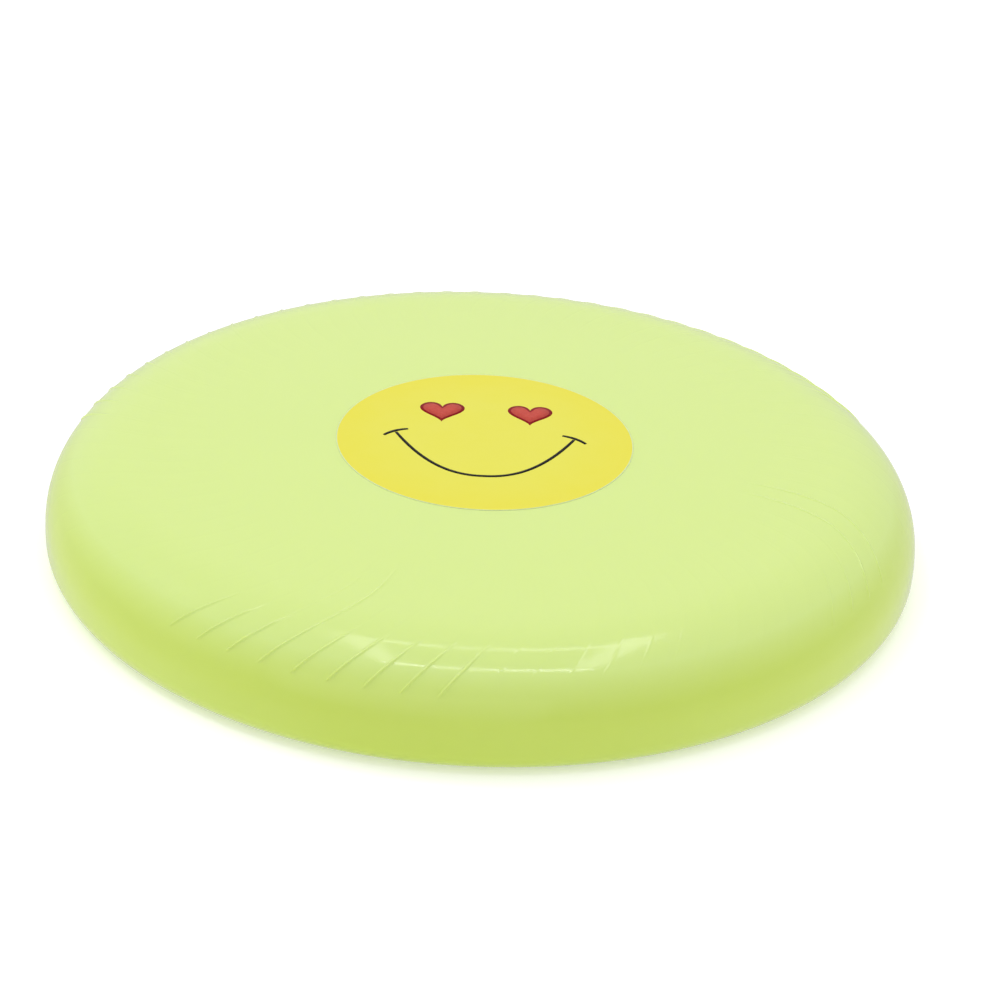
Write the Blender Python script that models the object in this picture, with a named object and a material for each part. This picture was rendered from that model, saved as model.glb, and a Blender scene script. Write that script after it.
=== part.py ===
"""A flying disc of soft plastic, lying lip down, with a round printed sticker on its plate.

The disc is one moulding. From the middle outwards it is a shallow domed plate, a full round
shoulder, a short upright wall and a lip that turns in under it. Low ridges sweep over the shoulder
in a spiral, for grip and to trip the air flow. The hollow underneath is where the fingers hold it.

Everything is in metres. The disc's axis is +Z and the floor that its lip rests on is z = 0.
"""

import math

import bmesh
import bpy

# The outside of the moulding
OUTER_RADIUS = 0.125
HEIGHT = 0.0341
PLATE_RADIUS = 0.098  # where the dome runs into the shoulder
PLATE_CROWN = 0.0023  # how far the dome rises within that radius
WIDEST_HEIGHT = 0.0081  # where the shoulder ends, at the outer radius
SHOULDER_FULLNESS = 2.29  # the exponent of its superellipse: 2 is an ellipse, and more is squarer
LIP_ROUND = 0.0062  # the radius that turns the wall in under the disc

# The inside of the moulding
PLATE_THICKNESS = 0.0013
WALL_THICKNESS = 0.003
LIP_THICKNESS = 0.0018
LIP_FLAT = 0.001  # the width of the flat ring that the disc rests on
GATE_RADIUS = 0.004  # the mark where the plastic entered the mould, under the middle of the plate
GATE_HEIGHT = 0.0005

# The ridges, evenly spaced round the axis
RIDGE_COUNT = 77
RIDGE_HEIGHT = 0.0003
RIDGE_WIDTH = 0.001
RIDGE_OUTER_RADIUS = 0.1213
RIDGE_FADE_RADIUS = 0.092  # further in than this, the ridges sink back into the plate
RIDGE_INNER_RADIUS = 0.0725
RIDGE_SWEEP = math.radians(13.5)  # how far a ridge runs round the axis on its way in
RIDGE_SWEEP_POWER = 2.5  # above 1, so that a ridge starts slanted and ends radial
RIDGE_START = math.radians(1.9)  # where the first ridge would reach the outer radius

# The sticker
STICKER_RADIUS = 0.0425
STICKER_THICKNESS = 0.0003
STICKER_SIDES = 72
GAP = 0.0003  # between the sticker and the plate

# How finely the round stretches of the profile are stepped
ROUND_STEPS = 4
LOWER_SHOULDER_STEPS = 4
RIDGED_SHOULDER_STEPS = 6
INNER_SHOULDER_STEPS = 6

DISC_COLOR = (0.70, 0.87, 0.33, 1.0)
STICKER_COLOR = (0.84, 0.77, 0.10, 1.0)

PLATE_EDGE_HEIGHT = HEIGHT - PLATE_CROWN
EDGE_SLOPE = -2 * PLATE_CROWN / PLATE_RADIUS  # the dome's slope where the shoulder takes over


def dome_height(radius):
    """The height of the plate's outer face."""
    return HEIGHT - PLATE_CROWN * (radius / PLATE_RADIUS) ** 2


def shoulder_point(turn, outer_radius, edge_height):
    """A point on a shoulder, from its foot at outer_radius (turn 0) to the plate's edge (turn 90 degrees).

    It is a quarter of a superellipse, sheared so that it meets the dome at the dome's own slope.
    """
    along = math.cos(turn) ** (2 / SHOULDER_FULLNESS) if turn < math.pi / 2 else 0.0
    up = math.sin(turn) ** (2 / SHOULDER_FULLNESS)
    width = outer_radius - PLATE_RADIUS
    foot = WIDEST_HEIGHT - EDGE_SLOPE * width
    height = foot + (edge_height - foot) * up + EDGE_SLOPE * width * along
    return PLATE_RADIUS + width * along, height


def shoulder_turn(radius):
    """The turn at which the outer shoulder has this radius."""
    along = (radius - PLATE_RADIUS) / (OUTER_RADIUS - PLATE_RADIUS)
    return math.acos(along ** (SHOULDER_FULLNESS / 2))


def steps(first, last, count):
    """The count values after first, evenly spaced up to last."""
    return [first + (last - first) * i / count for i in range(1, count + 1)]


def arc(centre, radius, first, last, count):
    """Points on an arc of the profile, after its first point, with its angles in degrees."""
    angles = [math.radians(a) for a in steps(first, last, count)]
    return [(centre[0] + radius * math.cos(a), centre[1] + radius * math.sin(a)) for a in angles]


def outer_wall():
    """The profile from the resting flat, round the lip and up to where the ridges begin."""
    lip_centre = (OUTER_RADIUS - LIP_ROUND, LIP_ROUND)
    points = [(lip_centre[0], 0.0)]
    points += arc(lip_centre, LIP_ROUND, -90, 0, ROUND_STEPS)
    points.append((OUTER_RADIUS, WIDEST_HEIGHT))
    turns = steps(0, shoulder_turn(RIDGE_OUTER_RADIUS), LOWER_SHOULDER_STEPS)
    points += [shoulder_point(t, OUTER_RADIUS, PLATE_EDGE_HEIGHT) for t in turns]
    return points


def ridged_band():
    """The profile from where the ridges rise to where they have sunk back into the plate."""
    turns = steps(shoulder_turn(RIDGE_OUTER_RADIUS), math.pi / 2, RIDGED_SHOULDER_STEPS)
    points = [shoulder_point(t, OUTER_RADIUS, PLATE_EDGE_HEIGHT) for t in turns]
    radii = [RIDGE_FADE_RADIUS, (RIDGE_FADE_RADIUS + RIDGE_INNER_RADIUS) / 2]
    return points + [(r, dome_height(r)) for r in radii]


def plate_top():
    """The profile of the smooth middle of the plate, short of its centre."""
    radii = [RIDGE_INNER_RADIUS, RIDGE_INNER_RADIUS * 2 / 3, RIDGE_INNER_RADIUS / 3]
    return [(r, dome_height(r)) for r in radii]


def inner_face():
    """The profile of the underside, from the resting flat's inner edge to the gate mark."""
    nose_radius = LIP_THICKNESS / 2
    lip_centre = (OUTER_RADIUS - LIP_ROUND, LIP_ROUND)
    nose_centre = (lip_centre[0] - LIP_FLAT, nose_radius)
    points = [(nose_centre[0], 0.0)]
    points += arc(nose_centre, nose_radius, -90, -270, ROUND_STEPS)
    points.append((lip_centre[0], WALL_THICKNESS))
    points += arc(lip_centre, LIP_ROUND - WALL_THICKNESS, -90, 0, ROUND_STEPS)
    wall_radius = OUTER_RADIUS - WALL_THICKNESS
    under_edge = PLATE_EDGE_HEIGHT - PLATE_THICKNESS
    points.append((wall_radius, WIDEST_HEIGHT))
    turns = steps(0, math.pi / 2, INNER_SHOULDER_STEPS)
    points += [shoulder_point(t, wall_radius, under_edge) for t in turns]
    radii = [PLATE_RADIUS * 2 / 3, PLATE_RADIUS / 3, GATE_RADIUS * 1.2]
    points += [(r, dome_height(r) - PLATE_THICKNESS) for r in radii]
    points.append((GATE_RADIUS, dome_height(GATE_RADIUS) - PLATE_THICKNESS - GATE_HEIGHT))
    return points


def ridge_angle(radius):
    """How far round the axis a ridge has swept by the time it reaches this radius."""
    along = (radius - RIDGE_INNER_RADIUS) / (OUTER_RADIUS - RIDGE_INNER_RADIUS)
    return RIDGE_START + RIDGE_SWEEP * (1 - max(along, 0.0) ** RIDGE_SWEEP_POWER)


def ridge_height(radius):
    """The ridges' height above the skin: full over the shoulder, and falling to nothing on the plate."""
    along = (radius - RIDGE_INNER_RADIUS) / (RIDGE_FADE_RADIUS - RIDGE_INNER_RADIUS)
    return RIDGE_HEIGHT * min(along, 1.0)


def pitch_angles():
    """The angle of each ridge from the first."""
    return [2 * math.pi * i / RIDGE_COUNT for i in range(RIDGE_COUNT)]


def ring(mesh, radius, height, start):
    """A ring with one vertex for each ridge, the first of them at the angle start."""
    angles = [start + a for a in pitch_angles()]
    return [mesh.verts.new((radius * math.cos(a), radius * math.sin(a), height)) for a in angles]


def ridged_ring(mesh, radius, height):
    """A ring with three vertices at each ridge: its two feet, with its crest between them."""
    start = ridge_angle(radius)
    foot = RIDGE_WIDTH / 2 / radius
    lift = ridge_height(radius)
    vertices = []
    for a in pitch_angles():
        for side, rise in ((-foot, 0.0), (0.0, lift), (foot, 0.0)):
            angle = start + a + side
            place = (radius * math.cos(angle), radius * math.sin(angle), height + rise)
            vertices.append(mesh.verts.new(place))
    return vertices


def join_rings(mesh, lower, upper):
    """Faces between two rings, which have either as many vertices or one to three."""
    if len(lower) > len(upper):
        join_rings(mesh, upper, lower)
        return
    ratio = len(upper) // len(lower)
    for i, vertex in enumerate(lower):
        following = lower[(i + 1) % len(lower)]
        group = [upper[(ratio * i + k) % len(upper)] for k in range(ratio + 1)]
        for k in range(ratio - 1):
            mesh.faces.new((vertex, group[k], group[k + 1]))
        mesh.faces.new((vertex, group[-2], group[-1], following))


def join_centre(mesh, edge, height):
    """A fan of faces that closes a ring at the axis."""
    centre = mesh.verts.new((0.0, 0.0, height))
    for i, vertex in enumerate(edge):
        mesh.faces.new((vertex, edge[(i + 1) % len(edge)], centre))


def material(name, color, roughness):
    """An opaque plastic finish."""
    made = bpy.data.materials.new(name)
    made.use_nodes = True
    shader = made.node_tree.nodes["Principled BSDF"]
    shader.inputs["Base Color"].default_value = color
    shader.inputs["Roughness"].default_value = roughness
    shader.inputs["Metallic"].default_value = 0.0
    made.diffuse_color = color
    return made


def add_object(name, mesh, finish):
    """Makes an object of the mesh, with its faces pointing out and its curves shaded smooth."""
    bmesh.ops.recalc_face_normals(mesh, faces=mesh.faces)
    data = bpy.data.meshes.new(name)
    mesh.to_mesh(data)
    mesh.free()
    data.shade_smooth()
    data.set_sharp_from_angle(angle=math.radians(35))
    data.materials.append(finish)
    made = bpy.data.objects.new(name, data)
    bpy.context.scene.collection.objects.link(made)
    return made


def build_disc():
    """The moulding: its outside from the lip to the middle, and its inside back from the lip."""
    mesh = bmesh.new()
    edge_angle = ridge_angle(RIDGE_OUTER_RADIUS)
    plate_angle = ridge_angle(RIDGE_INNER_RADIUS)
    wall = [ring(mesh, r, z, edge_angle) for r, z in outer_wall()]
    band = [ridged_ring(mesh, r, z) for r, z in ridged_band()]
    plate = [ring(mesh, r, z, plate_angle) for r, z in plate_top()]
    under = [ring(mesh, r, z, edge_angle) for r, z in inner_face()]
    outside = wall + band + plate
    for rings in (outside, under, [wall[0], under[0]]):
        for lower, upper in zip(rings, rings[1:]):
            join_rings(mesh, lower, upper)
    join_centre(mesh, plate[-1], HEIGHT)
    join_centre(mesh, under[-1], HEIGHT - PLATE_THICKNESS - GATE_HEIGHT)
    return add_object("disc", mesh, material("lime_plastic", DISC_COLOR, 0.35))


def build_sticker():
    """A thin round label that follows the dome."""
    mesh = bmesh.new()
    radii = (STICKER_RADIUS / 2, STICKER_RADIUS)
    faces = []
    for lift in (GAP, GAP + STICKER_THICKNESS):
        rings = []
        for radius in radii:
            angles = [2 * math.pi * i / STICKER_SIDES for i in range(STICKER_SIDES)]
            height = dome_height(radius) + lift
            places = [(radius * math.cos(a), radius * math.sin(a), height) for a in angles]
            rings.append([mesh.verts.new(place) for place in places])
        join_rings(mesh, *rings)
        join_centre(mesh, rings[0], HEIGHT + lift)
        faces.append(rings)
    join_rings(mesh, faces[0][-1], faces[1][-1])
    return add_object("sticker", mesh, material("printed_label", STICKER_COLOR, 0.3))


def main():
    for old in list(bpy.data.objects):
        bpy.data.objects.remove(old, do_unlink=True)
    build_disc()
    build_sticker()


main()
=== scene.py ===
"""The looks of a soft lime flying disc with a round printed label, lying lip down on a pale floor.

The disc is a fine surface of revolution with real spiral ridges, in translucent satin plastic. The
label is a thin printed film on its plate: a plain yellow face with heart eyes and a drawn smile.
Everything is in metres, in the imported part's frame.
"""

import math

import bmesh
import bpy
import numpy as np
from mathutils import Matrix, Vector


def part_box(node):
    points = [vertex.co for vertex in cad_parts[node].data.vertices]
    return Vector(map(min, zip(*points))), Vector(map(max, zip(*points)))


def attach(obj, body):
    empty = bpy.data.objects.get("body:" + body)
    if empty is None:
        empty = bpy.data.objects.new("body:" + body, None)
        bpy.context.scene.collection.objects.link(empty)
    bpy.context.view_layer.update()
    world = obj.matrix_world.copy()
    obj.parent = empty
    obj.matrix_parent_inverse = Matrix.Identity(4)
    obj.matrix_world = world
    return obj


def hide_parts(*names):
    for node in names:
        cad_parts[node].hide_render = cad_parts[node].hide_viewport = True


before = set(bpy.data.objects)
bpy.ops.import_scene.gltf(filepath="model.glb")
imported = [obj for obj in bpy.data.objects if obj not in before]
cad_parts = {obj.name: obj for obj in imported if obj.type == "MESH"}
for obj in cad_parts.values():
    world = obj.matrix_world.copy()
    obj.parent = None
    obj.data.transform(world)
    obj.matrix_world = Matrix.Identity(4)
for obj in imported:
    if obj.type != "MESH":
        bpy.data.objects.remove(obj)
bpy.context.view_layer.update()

DISC_LOW, DISC_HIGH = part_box("disc")
LABEL_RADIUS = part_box("sticker")[1].x

# The moulding's outside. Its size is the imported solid's, and its shape repeats the part's own design.
OUTER_RADIUS = max(DISC_HIGH.x, DISC_HIGH.y, -DISC_LOW.x, -DISC_LOW.y)
HEIGHT = DISC_HIGH.z
PLATE_RADIUS = 0.784 * OUTER_RADIUS  # where the dome runs into the shoulder
PLATE_CROWN = 0.0023  # how far the dome rises within that radius
PLATE_EDGE_HEIGHT = HEIGHT - PLATE_CROWN
EDGE_SLOPE = -2 * PLATE_CROWN / PLATE_RADIUS  # the dome's slope where the shoulder takes over
WIDEST_HEIGHT = 0.0081  # where the shoulder ends, at the outer radius
SHOULDER_FULLNESS = 2.29  # the exponent of its superellipse: 2 is an ellipse, and more is squarer
LIP_ROUND = 0.0062  # the radius that turns the wall in under the disc

# Its inside
PLATE_THICKNESS = 0.0013
WALL_THICKNESS = 0.003
LIP_THICKNESS = 0.0018
LIP_FLAT = 0.001  # the width of the flat ring that the disc rests on
GATE_RADIUS = 0.004  # the mark where the plastic entered the mould, under the middle of the plate
GATE_FOOT_RADIUS = 1.15 * GATE_RADIUS
GATE_FACE_RADIUS = 0.85 * GATE_RADIUS
GATE_HEIGHT = 0.0005
GATE_EDGE_HEIGHT = 0.7 * GATE_HEIGHT

# How finely the round stretches of the profile are stepped
PLATE_STEPS = 12
SHOULDER_STEPS = 26
ROUND_STEPS = 12
RIDGE_END_STEPS = 4

# The ridges, evenly spaced round the axis
RIDGE_COUNT = 77
RIDGE_HEIGHT = 0.00042
TRACE_HEIGHT = 0.0002  # of the few that still show on the plate
FAINT_HEIGHT = 0.000022  # of all the rest
RIDGE_WIDTH = 0.0014
RIDGE_OUTER_RADIUS = 0.1218
RIDGE_END_LENGTH = 0.0007  # how far in from its outer end a ridge reaches its full height
RIDGE_CREST_RADIUS = 0.118  # they are full height outside this
RIDGE_FADE_RADIUS = 0.107  # and no more than traces inside this
RIDGE_INNER_RADIUS = 0.0725
RIDGE_RISE_LENGTH = 0.018  # how far out from there even the traces have risen
RIDGE_SWEEP = math.radians(13.5)  # how far a ridge runs round the axis on its way in
RIDGE_SWEEP_POWER = 2.5  # above 1, so that a ridge starts slanted and ends radial
RIDGE_START = math.radians(1.9)  # where the first ridge would reach the outer radius
RIDGE_CUTS = (-0.62, -0.5, -0.34, -0.17, 0.0, 0.17, 0.34, 0.5, 0.62)  # in ridge widths
LAND_CUTS = (0.25, 0.5, 0.75)  # in shares of the land between two ridges
GROUP = 3  # columns of the ridged band that one column of the plain skin meets

# The sectors where the ridges are crisp, and where traces of them show on the plate. Each is its
# middle and its half width in degrees round from +X, and how fully the ridges are moulded in it.
CRISP_SECTORS = ((247.0, 20.0, 1.0), (327.0, 6.0, 0.4), (95.0, 75.0, 0.8))
TRACE_SECTORS = ((333.0, 5.0, 1.0), (242.0, 3.5, 1.0))
SECTOR_EASE = 4.0  # degrees over which a sector begins and ends

# The label
LABEL_THICKNESS = 0.00012
LABEL_BORDER = 0.0003  # the unprinted margin that its cutter left
LABEL_SIDES = 240
INK_LIFT = 0.00002  # how far a film of ink stands above what it is printed on

# The label's artwork, about the middle of the label, +Y up the face
HEART_WIDTH = 0.305 * LABEL_RADIUS
HEART_SPREAD = 0.3 * LABEL_RADIUS  # from the face's middle line
HEART_HEIGHT = 0.372 * LABEL_RADIUS
HEART_LINE = 0.0009  # the width of its darker edge
HEART_STRETCH = 1.08
HEART_POINTS = 192
HEART_CURVE_WIDTH = 32  # of the curve that it is drawn from
HEART_CURVE_DROP = 2.5  # how far the middle of that curve is below its origin
INSET_SLACK = 0.99  # the share of its distance that an inset point must keep from the whole outline
SMILE_HALF_WIDTH = 0.6 * LABEL_RADIUS
SMILE_BOTTOM = -0.54 * LABEL_RADIUS
SMILE_DEPTH = 0.585 * LABEL_RADIUS
SMILE_POWER = 2.3
SMILE_POINTS = 81
CHEEK_LENGTH = 0.19 * LABEL_RADIUS
CHEEK_ARCH = 0.018 * LABEL_RADIUS
CHEEK_LEAN = math.radians(33.0)  # down and out
CHEEK_POINTS = 17
LINE_WIDTH = 0.0012
LINE_END_WIDTH = 0.7 * LINE_WIDTH

# Colours, as linear RGB
# The plate's colour is partly the thin plastic's own paler tone and partly a painted sheen, the pale
# reflection of the light overhead put into the colour.
PLATE_COLOR_AND_SHEEN = (0.61, 0.76, 0.235)
WALL_COLOR = (0.545, 0.68, 0.104)
FLOW_COLOR = (0.64, 0.78, 0.24)
YELLOW = (0.725, 0.70, 0.072)
WARM_YELLOW = (0.74, 0.685, 0.05)
PALE_YELLOW = (0.70, 0.68, 0.14)
EDGE_COLOR = (0.66, 0.77, 0.42)
EDGE_SHADE = (0.60, 0.72, 0.34)
RED = (0.53, 0.078, 0.055)
RED_SHADE = (0.48, 0.06, 0.045)
DARK_RED = (0.26, 0.004, 0.008)
DARK_RED_SHADE = (0.24, 0.006, 0.012)
BLACK = (0.004, 0.004, 0.005)
BLACK_SHADE = (0.010, 0.010, 0.010)
FLOOR_COLOR = (0.86, 0.86, 0.86)
FLOOR_SHADE = (0.83, 0.83, 0.83)
STRIP_COLOR = (0.92, 0.86, 1.0)
WHITE = (1.0, 1.0, 1.0)

# The finishes. A noise is its cells to the metre and its detail, and a relief is a depth.
NOISE_RANGE = (0.3, 0.7)  # what most of a noise lies between
# Over these radii the painted sheen on the plate fades out along with its paler tone.
DEEPENING_AND_SHEEN_FADE = (0.117, 0.1245)  # the radii between which the plate's colour gives way to the wall's
FLOW_NOISE = (18.0, 3.0)
FLOW_MOST = 0.12  # the largest share of the flow marks' colour
SHEEN_NOISE = (60.0, 3.0)
PLASTIC_ROUGHNESS = (0.10, 0.15)
SKIN_NOISE = (350.0, 3.0)
SKIN_RELIEF = 0.000004
SCATTER_SHARE = 0.25
SCATTER_COLORS = (1.0, 1.0, 0.35)  # blue light goes the least way into the plastic
SCATTER_LENGTH = 0.003
WARMING = (0.5 * LABEL_RADIUS, LABEL_RADIUS)  # the radii between which the yellow gets warmer
PRINT_GRAIN_NOISE = (2500.0, 2.0)
PRINT_GRAIN_MOST = 0.08  # the largest share of the paler yellow
PRINT_SHEEN_NOISE = (120.0, 2.0)
PRINT_ROUGHNESS = (0.45, 0.55)
PRINT_NOISE = (500.0, 2.0)
PRINT_RELIEF = 0.000003
PRINT_IOR = 1.35
INK_NOISE = (1500.0, 2.0)
INK_RANGE = (0.35, 0.65)
INK_ROUGHNESS = 0.5
INK_IOR = 1.25
INK_SPECULAR = 0.3
FLOOR_NOISE = (3.0, 2.0)
FLOOR_ROUGHNESS = 0.9
FLOOR_GLOW = 0.3  # the floor is a light table

# The Mix node's sockets when it mixes colours
MIX_FIRST = 6
MIX_SECOND = 7
MIX_RESULT = 2

# The floor and the camera
FLOOR_REACH = 3.0
FLOOR_LEVEL = -0.0002
CAMERA_DISTANCE = 1.0  # from the middle of the floor under the disc
CAMERA_ELEVATION = math.radians(28.743)
CAMERA_TARGET = (0.00505, -0.01965, 0.025)  # what it looks at
CAMERA_ROLL = math.radians(2.82)
CAMERA_LENS = 124.0
CAMERA_SENSOR = 36.0

# The tent of light round the disc
SKY_DIM = 0.36  # the least that the disc mirrors above the horizon
SKY_BRIGHT = 1.0  # and the most, in SKY_BRIGHT_WAY
SKY_BRIGHT_WAY = (-0.15, 0.45, 0.88)  # up, behind and a little left
SKY_DIM_COSINE = -0.5  # of the angle from that way past which the tent gets no dimmer
GROUND_BRIGHT = 0.7  # what the disc mirrors below the horizon, in front and behind
GROUND_SIDES = 1.5  # how much brighter that gets lower down at the left and right

LAMPS = (
    # name, place, size, power in watts, whether the disc mirrors it
    ("lamp_front", (-0.6, -2.2, 0.9), (3.0, 1.6), 6.0, True),
    ("lamp_key", (-1.5, 0.7, 1.7), (0.7, 0.7), 9.0, False),
    ("lamp_left", (-2.2, 0.3, 0.9), (1.6, 1.6), 0.3, False),
    ("lamp_right", (2.2, 0.3, 0.9), (1.6, 1.6), 6.5, False),
)
STRIPS = (
    # name, place, size, power in watts
    ("strip_front", (0.04, -0.29, 1.0), (0.64, 0.045), 0.6),
    ("strip_back", (0.04, 0.2, 1.0), (0.64, 0.05), 0.35),
    ("strip_left", (-0.25, -0.04, 1.0), (0.09, 0.42), 0.35),
    ("strip_right", (0.32, 0.06, 1.0), (0.1, 0.6), 0.52),
)


def dome_height(radius):
    """The height of the plate's outer face."""
    return HEIGHT - PLATE_CROWN * (radius / PLATE_RADIUS) ** 2


def shoulder_point(turn, outer_radius, edge_height):
    """A point on a shoulder, from its foot (turn 0) to the plate's edge (turn 90 degrees)."""
    along = max(math.cos(turn), 0.0) ** (2 / SHOULDER_FULLNESS)
    up = math.sin(turn) ** (2 / SHOULDER_FULLNESS)
    width = outer_radius - PLATE_RADIUS
    foot = WIDEST_HEIGHT - EDGE_SLOPE * width
    height = foot + (edge_height - foot) * up + EDGE_SLOPE * width * along
    return PLATE_RADIUS + width * along, height


def shoulder_turn(radius):
    """The turn at which the outer shoulder has this radius."""
    along = (radius - PLATE_RADIUS) / (OUTER_RADIUS - PLATE_RADIUS)
    return math.acos(along ** (SHOULDER_FULLNESS / 2))


def steps(first, last, count):
    """The count values after first, evenly spaced up to last."""
    return [first + (last - first) * i / count for i in range(1, count + 1)]


def arc(centre, radius, first, last, count):
    """Points on an arc of the profile, after its first point, with its angles in degrees."""
    angles = [math.radians(a) for a in steps(first, last, count)]
    return [(centre[0] + radius * math.cos(a), centre[1] + radius * math.sin(a)) for a in angles]


def outer_wall():
    """The profile from the resting flat, round the lip and up to where the ridges begin."""
    centre = (OUTER_RADIUS - LIP_ROUND, LIP_ROUND)
    points = [(centre[0], 0.0)]
    points += arc(centre, LIP_ROUND, -90, 0, ROUND_STEPS)
    points.append((OUTER_RADIUS, WIDEST_HEIGHT))
    turns = steps(0, shoulder_turn(RIDGE_OUTER_RADIUS), ROUND_STEPS)
    return points + [shoulder_point(t, OUTER_RADIUS, PLATE_EDGE_HEIGHT) for t in turns]


def ridged_band():
    """The profile from where the ridges rise to where they have sunk back into the plate."""
    first = shoulder_turn(RIDGE_OUTER_RADIUS)
    end = shoulder_turn(RIDGE_OUTER_RADIUS - RIDGE_END_LENGTH)
    turns = steps(first, end, RIDGE_END_STEPS) + steps(end, math.pi / 2, SHOULDER_STEPS)
    points = [shoulder_point(t, OUTER_RADIUS, PLATE_EDGE_HEIGHT) for t in turns]
    radii = steps(PLATE_RADIUS, RIDGE_INNER_RADIUS, PLATE_STEPS)[:-1]
    return points + [(r, dome_height(r)) for r in radii]


def plate_top():
    """The profile of the smooth middle of the plate, short of its centre."""
    radii = [RIDGE_INNER_RADIUS] + steps(RIDGE_INNER_RADIUS, 0.0, PLATE_STEPS)[:-1]
    return [(r, dome_height(r)) for r in radii]


def inner_face():
    """The profile of the underside, from the resting flat's inner edge to the gate mark's face."""
    nose = LIP_THICKNESS / 2
    lip_centre = (OUTER_RADIUS - LIP_ROUND, LIP_ROUND)
    nose_centre = (lip_centre[0] - LIP_FLAT, nose)
    points = [(nose_centre[0], 0.0)]
    points += arc(nose_centre, nose, -90, -270, ROUND_STEPS)
    points += arc(lip_centre, LIP_ROUND - WALL_THICKNESS, -80, 0, ROUND_STEPS)
    wall_radius = OUTER_RADIUS - WALL_THICKNESS
    points.append((wall_radius, WIDEST_HEIGHT))
    turns = steps(0, math.pi / 2, SHOULDER_STEPS)
    under_edge = PLATE_EDGE_HEIGHT - PLATE_THICKNESS
    points += [shoulder_point(t, wall_radius, under_edge) for t in turns]
    radii = steps(PLATE_RADIUS, GATE_FOOT_RADIUS, PLATE_STEPS)
    points += [(r, dome_height(r) - PLATE_THICKNESS) for r in radii]
    gate_top = dome_height(GATE_RADIUS) - PLATE_THICKNESS
    points.append((GATE_RADIUS, gate_top - GATE_EDGE_HEIGHT))
    points.append((GATE_FACE_RADIUS, gate_top - GATE_HEIGHT))
    return points


def ridge_angle(radius):
    """How far round the axis the first ridge has swept by the time it reaches this radius."""
    along = (radius - RIDGE_INNER_RADIUS) / (OUTER_RADIUS - RIDGE_INNER_RADIUS)
    return RIDGE_START + RIDGE_SWEEP * (1 - max(along, 0.0) ** RIDGE_SWEEP_POWER)


def smooth_step(value):
    """0 below 0, 1 above 1, and an even ease between them."""
    value = min(max(value, 0.0), 1.0)
    return value * value * (3 - 2 * value)


def sector_share(ridge, sectors):
    """How fully a ridge is moulded, by which of the sectors its outer end is in."""
    angle = math.degrees(ridge_angle(RIDGE_OUTER_RADIUS)) + 360 * ridge / RIDGE_COUNT
    return max(
        most * smooth_step((half_width - abs(angle % 360 - middle)) / SECTOR_EASE + 0.5)
        for middle, half_width, most in sectors
    )


def ridge_height(radius, ridge):
    """A ridge's height: rounded off at its outer end, full on the shoulder, low on the plate."""
    outer = smooth_step((RIDGE_OUTER_RADIUS - radius) / RIDGE_END_LENGTH)
    shoulder = smooth_step((radius - RIDGE_FADE_RADIUS) / (RIDGE_CREST_RADIUS - RIDGE_FADE_RADIUS))
    plate = smooth_step((radius - RIDGE_INNER_RADIUS) / RIDGE_RISE_LENGTH)
    height = FAINT_HEIGHT + (TRACE_HEIGHT - FAINT_HEIGHT) * sector_share(ridge, TRACE_SECTORS)
    height += (RIDGE_HEIGHT - height) * shoulder * sector_share(ridge, CRISP_SECTORS)
    return outer * plate * height


def columns(radius, start):
    """The angle and the lift of each column of the ridged band."""
    pitch = 2 * math.pi / RIDGE_COUNT
    width = RIDGE_WIDTH / radius
    land = pitch - width
    cuts = [(c * width, math.cos(math.pi * min(abs(c), 0.5)) ** 2) for c in RIDGE_CUTS]
    cuts += [(width / 2 + c * land, 0.0) for c in LAND_CUTS]
    heights = [ridge_height(radius, ridge) for ridge in range(RIDGE_COUNT)]
    return [
        (start + pitch * ridge + angle, share * height)
        for ridge, height in enumerate(heights)
        for angle, share in cuts
    ]


def outward(profile):
    """The unit normal at each point of a profile that runs from the lip in to the axis."""
    along = np.gradient(np.array(profile), axis=0)
    normals = np.stack([along[:, 1], -along[:, 0]], axis=1)
    return normals / np.linalg.norm(normals, axis=1)[:, None]


class Surface:
    """Vertices and faces gathered ring by ring, and made into one closed mesh."""

    def __init__(self):
        self.points = []
        self.faces = []

    def ring(self, places):
        """Adds a ring of points and returns their indices."""
        first = len(self.points)
        self.points.extend(places)
        return list(range(first, len(self.points)))

    def join(self, few, many):
        """Faces between two rings, one with as many points as the other or GROUP times more."""
        if len(few) > len(many):
            few, many = many, few
        ratio = len(many) // len(few)
        for i, point in enumerate(few):
            following = few[(i + 1) % len(few)]
            group = [many[(ratio * i + k) % len(many)] for k in range(ratio + 1)]
            self.faces.extend((point, group[k + 1], group[k]) for k in range(ratio - 1))
            self.faces.append((point, following, group[-1], group[-2]))

    def join_all(self, rings):
        """Faces between each ring and the next."""
        for ring, following in zip(rings, rings[1:]):
            self.join(ring, following)

    def cap(self, edge, centre):
        """A fan of faces from a ring to one point."""
        tip = self.ring([centre])[0]
        self.faces.extend((point, edge[(i + 1) % len(edge)], tip) for i, point in enumerate(edge))

    def piece(self, name, *finishes):
        """Makes the mesh and its object."""
        data = bpy.data.meshes.new(name)
        data.from_pydata(self.points, [], self.faces)
        mesh = bmesh.new()
        mesh.from_mesh(data)
        bmesh.ops.recalc_face_normals(mesh, faces=mesh.faces)
        mesh.to_mesh(data)
        mesh.free()
        data.shade_smooth()
        for finish in finishes:
            data.materials.append(finish)
        made = bpy.data.objects.new(name, data)
        bpy.context.scene.collection.objects.link(made)
        return made


def polar(radius, angle, height):
    """A point from its distance from the axis, its direction and its height."""
    return (radius * math.cos(angle), radius * math.sin(angle), height)


def plain_ring(surface, radius, height, start):
    """A ring of the plain skin, whose columns meet those of the ridged band in groups."""
    angles = [angle for angle, _ in columns(max(radius, RIDGE_INNER_RADIUS), start)][1::GROUP]
    return surface.ring([polar(radius, a, height) for a in angles])


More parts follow.
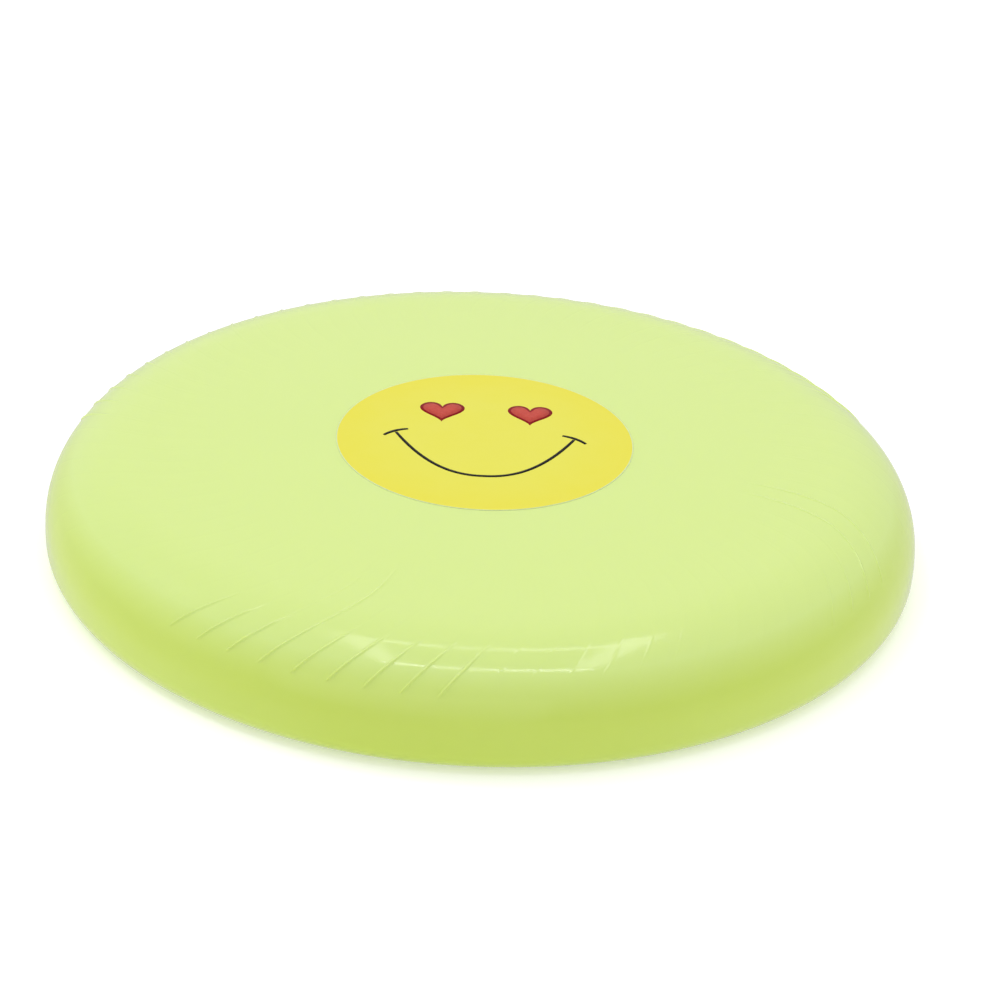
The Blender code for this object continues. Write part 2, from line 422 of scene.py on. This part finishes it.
def build_disc(finish):
    """The moulding: outside from the lip to the middle of the plate, and inside back from the lip."""
    surface = Surface()
    edge_angle = ridge_angle(RIDGE_OUTER_RADIUS)
    plate_angle = ridge_angle(RIDGE_INNER_RADIUS)
    rings = [plain_ring(surface, r, z, edge_angle) for r, z in outer_wall()]
    band = ridged_band()
    for (radius, height), normal in zip(band, outward(band)):
        places = [
            polar(radius + normal[0] * lift, angle, height + normal[1] * lift)
            for angle, lift in columns(radius, ridge_angle(radius))
        ]
        rings.append(surface.ring(places))
    rings += [plain_ring(surface, r, z, plate_angle) for r, z in plate_top()]
    under = [plain_ring(surface, r, z, edge_angle) for r, z in inner_face()]
    surface.join_all(rings)
    surface.join_all(under)
    surface.join(rings[0], under[0])
    surface.cap(rings[-1], (0.0, 0.0, HEIGHT))
    surface.cap(under[-1], (0.0, 0.0, HEIGHT - PLATE_THICKNESS - GATE_HEIGHT))
    return surface.piece("disc_moulding", finish)


def dome_place(x, y, lift):
    """A point this far above the plate, over a place on it."""
    return (x, y, dome_height(math.hypot(x, y)) + lift)


def build_label(print_finish, edge_finish):
    """The printed film, whose outermost ring is its plain cut margin."""
    surface = Surface()
    angles = [2 * math.pi * i / LABEL_SIDES for i in range(LABEL_SIDES)]

    def film_ring(radius, lift):
        places = [dome_place(radius * math.cos(a), radius * math.sin(a), lift) for a in angles]
        return surface.ring(places)

    radii = steps(0.0, LABEL_RADIUS - LABEL_BORDER, PLATE_STEPS)
    top = [film_ring(r, LABEL_THICKNESS) for r in radii]
    surface.cap(top[0], dome_place(0.0, 0.0, LABEL_THICKNESS))
    surface.join_all(top)
    printed_faces = len(surface.faces)
    rim = [
        film_ring(LABEL_RADIUS - LABEL_THICKNESS / 2, LABEL_THICKNESS),
        film_ring(LABEL_RADIUS, LABEL_THICKNESS / 2),
        film_ring(LABEL_RADIUS, 0.0),
    ]
    bottom = [film_ring(r, 0.0) for r in reversed(radii)]
    surface.join_all([top[-1]] + rim + bottom)
    surface.cap(bottom[-1], dome_place(0.0, 0.0, 0.0))
    label = surface.piece("label_film", print_finish, edge_finish)
    for face in label.data.polygons[printed_faces:]:
        face.material_index = 1  # the edge finish
    return label


def ink_shape(name, finish, outline, lift):
    """A closed film of ink within an outline, all of which can be seen from its middle."""
    surface = Surface()
    middle = tuple(np.mean(outline, axis=0))
    inner = [tuple((np.array(p) + middle) / 2) for p in outline]
    base_lift = LABEL_THICKNESS / 2
    top = [surface.ring([dome_place(*p, lift) for p in places]) for places in (inner, outline)]
    base = [surface.ring([dome_place(*p, base_lift) for p in places]) for places in (outline, inner)]
    surface.cap(top[0], dome_place(*middle, lift))
    surface.join_all(top + base)
    surface.cap(base[-1], dome_place(*middle, base_lift))
    return surface.piece(name, finish)


def line_width(share):
    """The width of a pen stroke, thinner towards its ends, at a share of its length from 0 to 1."""
    return LINE_END_WIDTH + (LINE_WIDTH - LINE_END_WIDTH) * math.sin(math.pi * share) ** 0.5


def ink_line(name, finish, path):
    """A closed film of ink along a path, like a pen stroke."""
    surface = Surface()
    path = np.array(path)
    along = np.gradient(path, axis=0)
    along /= np.linalg.norm(along, axis=1)[:, None]
    low = LABEL_THICKNESS / 2
    high = LABEL_THICKNESS + INK_LIFT
    sections = []
    for share, place, way in zip(np.linspace(0, 1, len(path)), path, along):
        side = np.array([-way[1], way[0]]) * line_width(share) / 2
        left = place + side
        right = place - side
        corners = ((left, low), (right, low), (right, high), (left, high))
        sections.append(surface.ring([dome_place(*p, lift) for p, lift in corners]))
    surface.join_all(sections)
    surface.faces += [tuple(sections[0]), tuple(sections[-1])]
    return surface.piece(name, finish)


def heart_outline(centre_x):
    """A heart from the usual sine and cosine curve, which runs clockwise."""
    scale = HEART_WIDTH / HEART_CURVE_WIDTH
    outline = []
    for i in range(HEART_POINTS):
        t = 2 * math.pi * i / HEART_POINTS
        x = 16 * math.sin(t) ** 3
        y = 13 * math.cos(t) - 5 * math.cos(2 * t) - 2 * math.cos(3 * t) - math.cos(4 * t)
        up = HEART_STRETCH * scale * (y + HEART_CURVE_DROP)
        outline.append((centre_x + scale * x, HEART_HEIGHT + up))
    return outline


def inset(outline, width):
    """An outline this far inside a clockwise one, without the points where it would cross itself."""
    outline = np.array(outline)
    along = np.roll(outline, -1, axis=0) - np.roll(outline, 1, axis=0)
    inward = np.stack([along[:, 1], -along[:, 0]], axis=1)
    moved = outline + width * inward / np.linalg.norm(inward, axis=1)[:, None]
    nearest = [np.linalg.norm(outline - place, axis=1).min() for place in moved]
    return [tuple(place) for place, gap in zip(moved, nearest) if gap > INSET_SLACK * width]


def smile_path():
    """The mouth's line, from its left end down and up to its right end."""
    across = np.linspace(-1, 1, SMILE_POINTS)
    ups = SMILE_DEPTH * abs(across) ** SMILE_POWER
    return [(SMILE_HALF_WIDTH * t, SMILE_BOTTOM + up) for t, up in zip(across, ups)]


def cheek_path(side):
    """The short arched stroke across one end of the mouth."""
    places = []
    for t in np.linspace(-1, 1, CHEEK_POINTS):
        out = -side * t * CHEEK_LENGTH / 2
        up = CHEEK_ARCH * (1 - t * t)
        x = SMILE_HALF_WIDTH + out * math.cos(CHEEK_LEAN) + up * math.sin(CHEEK_LEAN)
        y = SMILE_BOTTOM + SMILE_DEPTH - out * math.sin(CHEEK_LEAN) + up * math.cos(CHEEK_LEAN)
        places.append((side * x, y))
    return places


def build_ink(red, dark_red, black):
    """The artwork on the label: two heart eyes and a drawn smile with a stroke at each end."""
    pieces = []
    for name, side in (("left", -1), ("right", 1)):
        outline = heart_outline(side * HEART_SPREAD)
        fill = inset(outline, HEART_LINE)
        lift = LABEL_THICKNESS + INK_LIFT
        pieces.append(ink_shape(f"heart_edge_{name}", dark_red, outline, lift))
        pieces.append(ink_shape(f"heart_fill_{name}", red, fill, lift + INK_LIFT))
        pieces.append(ink_line(f"smile_end_{name}", black, cheek_path(side)))
    pieces.append(ink_line("smile_line", black, smile_path()))
    return pieces


class Nodes:
    """A node tree, and short ways to add nodes to it."""

    def __init__(self, tree):
        self.tree = tree

    def feed(self, socket, value):
        """Links another node's output to a socket, or sets the socket to a number or a tuple."""
        if isinstance(value, bpy.types.NodeSocket):
            self.tree.links.new(value, socket)
        else:
            socket.default_value = value

    def node(self, kind, *values, **settings):
        """A node with these settings, and with its inputs fed in order."""
        made = self.tree.nodes.new(kind)
        for key, value in settings.items():
            setattr(made, key, value)
        for socket, value in zip(made.inputs, values):
            self.feed(socket, value)
        return made

    def compute(self, operation, *values):
        """What a Math node makes of these values."""
        return self.node("ShaderNodeMath", *values, operation=operation).outputs["Value"]

    def spread(self, value, low, high, to_low, to_high):
        """Carries the range low to high onto to_low to to_high."""
        return self.node("ShaderNodeMapRange", value, low, high, to_low, to_high).outputs["Result"]


class Finish(Nodes):
    """A new node material and its Principled shader."""

    def __init__(self, name):
        self.material = bpy.data.materials.new(name)
        self.material.use_nodes = True
        super().__init__(self.material.node_tree)
        self.shader = self.tree.nodes["Principled BSDF"]
        self.place = self.node("ShaderNodeTexCoord").outputs["Object"]

    def set(self, socket, value):
        """Sets one of the shader's sockets, or links another node's output to it."""
        self.feed(self.shader.inputs[socket], value)

    def noise(self, scale, detail):
        """Noise of scale cells to the metre, from 0 to 1."""
        made = self.node("ShaderNodeTexNoise")
        made.inputs["Scale"].default_value = scale
        made.inputs["Detail"].default_value = detail
        self.feed(made.inputs["Vector"], self.place)
        return made.outputs["Fac"]

    def uneven(self, noise, low, high):
        """Values from low to high, by a noise."""
        return self.spread(self.noise(*noise), *NOISE_RANGE, low, high)

    def mix(self, share, first, second):
        """A colour between two, each an RGB tuple or another node's output."""
        made = self.node("ShaderNodeMix", share, data_type="RGBA")
        for index, color in ((MIX_FIRST, first), (MIX_SECOND, second)):
            self.feed(made.inputs[index], (*color, 1.0) if isinstance(color, tuple) else color)
        return made.outputs[MIX_RESULT]

    def from_axis(self):
        """The distance from the disc's axis."""
        flat = self.node("ShaderNodeVectorMath", self.place, (1.0, 1.0, 0.0), operation="MULTIPLY")
        length = self.node("ShaderNodeVectorMath", flat.outputs["Vector"], operation="LENGTH")
        return length.outputs["Value"]

    def relief(self, noise, depth):
        """Small bumps, of this depth in metres."""
        made = self.node("ShaderNodeBump")
        made.inputs["Distance"].default_value = depth
        self.feed(made.inputs["Height"], self.noise(*noise))
        self.set("Normal", made.outputs["Normal"])


def disc_plastic():
    """Soft translucent polyethylene: paler on the thin plate, deeper in the thick wall. The plate's
    paler colour is partly its own and partly a painted sheen of the light overhead.
    """
    finish = Finish("disc_plastic")
    depth = finish.spread(finish.from_axis(), *DEEPENING_AND_SHEEN_FADE, 0.0, 1.0)
    # the plate's colour holds a painted sheen of the overhead light as well as its own paler tone
    skin_and_sheen = finish.mix(depth, PLATE_COLOR_AND_SHEEN, WALL_COLOR)
    flow = finish.uneven(FLOW_NOISE, 0.0, FLOW_MOST)
    finish.set("Base Color", finish.mix(flow, skin_and_sheen, FLOW_COLOR))
    finish.set("Roughness", finish.uneven(SHEEN_NOISE, *PLASTIC_ROUGHNESS))
    finish.set("Subsurface Weight", SCATTER_SHARE)
    finish.set("Subsurface Radius", SCATTER_COLORS)
    finish.set("Subsurface Scale", SCATTER_LENGTH)
    finish.relief(SKIN_NOISE, SKIN_RELIEF)
    return finish.material


def label_print():
    """Yellow print under a clear film, a little warmer towards the edge, with a fine print grain."""
    finish = Finish("label_print")
    edge = finish.spread(finish.from_axis(), *WARMING, 0.0, 1.0)
    yellow = finish.mix(edge, YELLOW, WARM_YELLOW)
    grain = finish.uneven(PRINT_GRAIN_NOISE, 0.0, PRINT_GRAIN_MOST)
    finish.set("Base Color", finish.mix(grain, yellow, PALE_YELLOW))
    finish.set("Roughness", finish.uneven(PRINT_SHEEN_NOISE, *PRINT_ROUGHNESS))
    finish.set("IOR", PRINT_IOR)
    finish.relief(PRINT_NOISE, PRINT_RELIEF)
    return finish.material


def ink(name, color, shade):
    """Printed ink, uneven between two colours."""
    finish = Finish(name)
    grain = finish.spread(finish.noise(*INK_NOISE), *INK_RANGE, 0.0, 1.0)
    finish.set("Base Color", finish.mix(grain, color, shade))
    finish.set("Roughness", INK_ROUGHNESS)
    finish.set("IOR", INK_IOR)
    finish.set("Specular IOR Level", INK_SPECULAR)
    return finish.material


def floor_finish():
    """Matt and nearly white, with a faint glow of its own."""
    finish = Finish("floor")
    finish.set("Base Color", finish.mix(finish.noise(*FLOOR_NOISE), FLOOR_COLOR, FLOOR_SHADE))
    finish.set("Roughness", FLOOR_ROUGHNESS)
    finish.set("Emission Color", (*WHITE, 1.0))
    finish.set("Emission Strength", FLOOR_GLOW)
    return finish.material


def build_floor():
    """A wide pale floor, just under the lip."""
    data = bpy.data.meshes.new("floor")
    corners = [(x * FLOOR_REACH, y * FLOOR_REACH, FLOOR_LEVEL)
               for x, y in ((-1, -1), (1, -1), (1, 1), (-1, 1))]
    data.from_pydata(corners, [], [(0, 1, 2, 3)])
    data.materials.append(floor_finish())
    floor = bpy.data.objects.new("floor", data)
    bpy.context.scene.collection.objects.link(floor)
    floor.visible_glossy = False  # the disc mirrors the dimmer tent, and not the bright floor


def build_tent():
    """The world's light: bright up behind and low at the sides, and plain white to the camera."""
    world = bpy.data.worlds.new("tent")
    bpy.context.scene.world = world
    world.use_nodes = True
    nodes = Nodes(world.node_tree)
    way = nodes.node("ShaderNodeTexCoord").outputs["Generated"]
    toward = nodes.node("ShaderNodeVectorMath", way, SKY_BRIGHT_WAY, operation="DOT_PRODUCT")
    sky = nodes.spread(toward.outputs["Value"], SKY_DIM_COSINE, 1.0, SKY_DIM, SKY_BRIGHT)
    split = nodes.node("ShaderNodeSeparateXYZ", way)
    x, z = split.outputs["X"], split.outputs["Z"]
    sides = nodes.compute("MULTIPLY", nodes.compute("MULTIPLY", x, x), z)
    ground = nodes.compute("MULTIPLY_ADD", sides, -GROUND_SIDES, GROUND_BRIGHT)
    mixed = nodes.node("ShaderNodeMix", nodes.compute("LESS_THAN", z, 0.0))
    nodes.feed(mixed.inputs["A"], sky)
    nodes.feed(mixed.inputs["B"], ground)
    to_camera = nodes.node("ShaderNodeLightPath").outputs["Is Camera Ray"]
    background = nodes.tree.nodes["Background"]
    nodes.feed(background.inputs["Color"], (*WHITE, 1.0))
    strength = nodes.compute("MAXIMUM", mixed.outputs["Result"], to_camera)
    nodes.feed(background.inputs["Strength"], strength)


def area_lamp(name, place, size, power):
    """A rectangular lamp at place that shines straight down."""
    data = bpy.data.lights.new(name, "AREA")
    data.shape = "RECTANGLE"
    data.size, data.size_y = size
    data.energy = power
    lamp = bpy.data.objects.new(name, data)
    bpy.context.scene.collection.objects.link(lamp)
    lamp.location = place
    return lamp


def build_lamps():
    """Broad lamps that face the disc, and a square frame of cool strips high over it."""
    for name, place, size, power, mirrored in LAMPS:
        lamp = area_lamp(name, place, size, power)
        lamp.rotation_euler = (-Vector(place)).to_track_quat("-Z", "Y").to_euler()
        lamp.visible_glossy = mirrored
    for name, place, size, power in STRIPS:
        strip = area_lamp(name, place, size, power)
        strip.data.color = STRIP_COLOR


def build_camera():
    """A long lens above the front, rolled a little."""
    data = bpy.data.cameras.new("camera")
    data.lens = CAMERA_LENS
    data.sensor_width = CAMERA_SENSOR
    camera = bpy.data.objects.new("camera", data)
    bpy.context.scene.collection.objects.link(camera)
    way = Vector((0.0, -math.cos(CAMERA_ELEVATION), math.sin(CAMERA_ELEVATION)))
    place = way * CAMERA_DISTANCE
    ahead = (Vector(CAMERA_TARGET) - place).normalized()
    level = ahead.cross(Vector((0.0, 0.0, 1.0))).normalized()
    turn = Matrix((level, level.cross(ahead), -ahead)).transposed().to_4x4()
    camera.matrix_world = Matrix.Translation(place) @ turn @ Matrix.Rotation(CAMERA_ROLL, 4, "Z")
    bpy.context.scene.camera = camera


def main():
    """Builds the studio, and then the disc, its label and the print on that."""
    bpy.context.scene.view_settings.view_transform = "Standard"
    build_camera()
    build_tent()
    build_lamps()
    build_floor()
    disc = build_disc(disc_plastic())
    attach(disc, "root")
    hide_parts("disc")
    label = build_label(label_print(), ink("label_edge", EDGE_COLOR, EDGE_SHADE))
    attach(label, "root")
    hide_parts("sticker")
    inks = build_ink(
        ink("ink_red", RED, RED_SHADE),
        ink("ink_dark_red", DARK_RED, DARK_RED_SHADE),
        ink("ink_black", BLACK, BLACK_SHADE),
    )
    for piece in inks:
        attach(piece, "root")


main()
